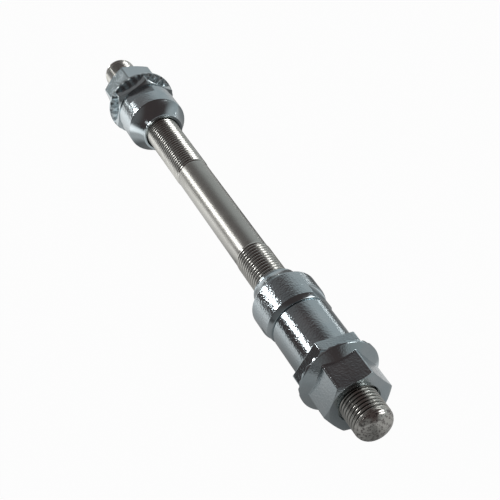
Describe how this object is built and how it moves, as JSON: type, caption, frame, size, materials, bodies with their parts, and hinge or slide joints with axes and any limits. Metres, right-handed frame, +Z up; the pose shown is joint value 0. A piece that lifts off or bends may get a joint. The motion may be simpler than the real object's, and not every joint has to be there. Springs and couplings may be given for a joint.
{
  "type": "bicycle hub axle",
  "caption": "Solid threaded rear axle for a bicycle hub, fitted with bearing cones, a spacer sleeve, thin locknuts and flanged axle nuts.",
  "frame": {"origin": "the axle's mid-length, on its axis", "axes": "+X along the axle towards the drive side, which has the spacer; +Z up as the picture is seen"},
  "size_m": [0.167, 0.0202, 0.0202],
  "materials": {
    "axle_steel": "smooth nickel-coloured plating over a rolled rod",
    "bright_plating": "bright bluish zinc plating"
  },
  "bodies": {
    "axle_set": {"axle": "axle_steel", "left_cone": "bright_plating", "left_locknut": "bright_plating", "right_cone": "bright_plating", "right_spacer": "bright_plating", "right_locknut": "bright_plating"},
    "left_nut": {"left_axle_nut": "bright_plating"},
    "right_nut": {"right_axle_nut": "bright_plating"}
  },
  "joints": [
    {"name": "left_nut_travel", "type": "slide", "parent": "axle_set", "child": "left_nut", "axis": [-1, 0, 0], "range_m": [0, 0.0162]},
    {"name": "right_nut_travel", "type": "slide", "parent": "axle_set", "child": "right_nut", "axis": [1, 0, 0], "range_m": [0, 0.0132]}
  ]
}
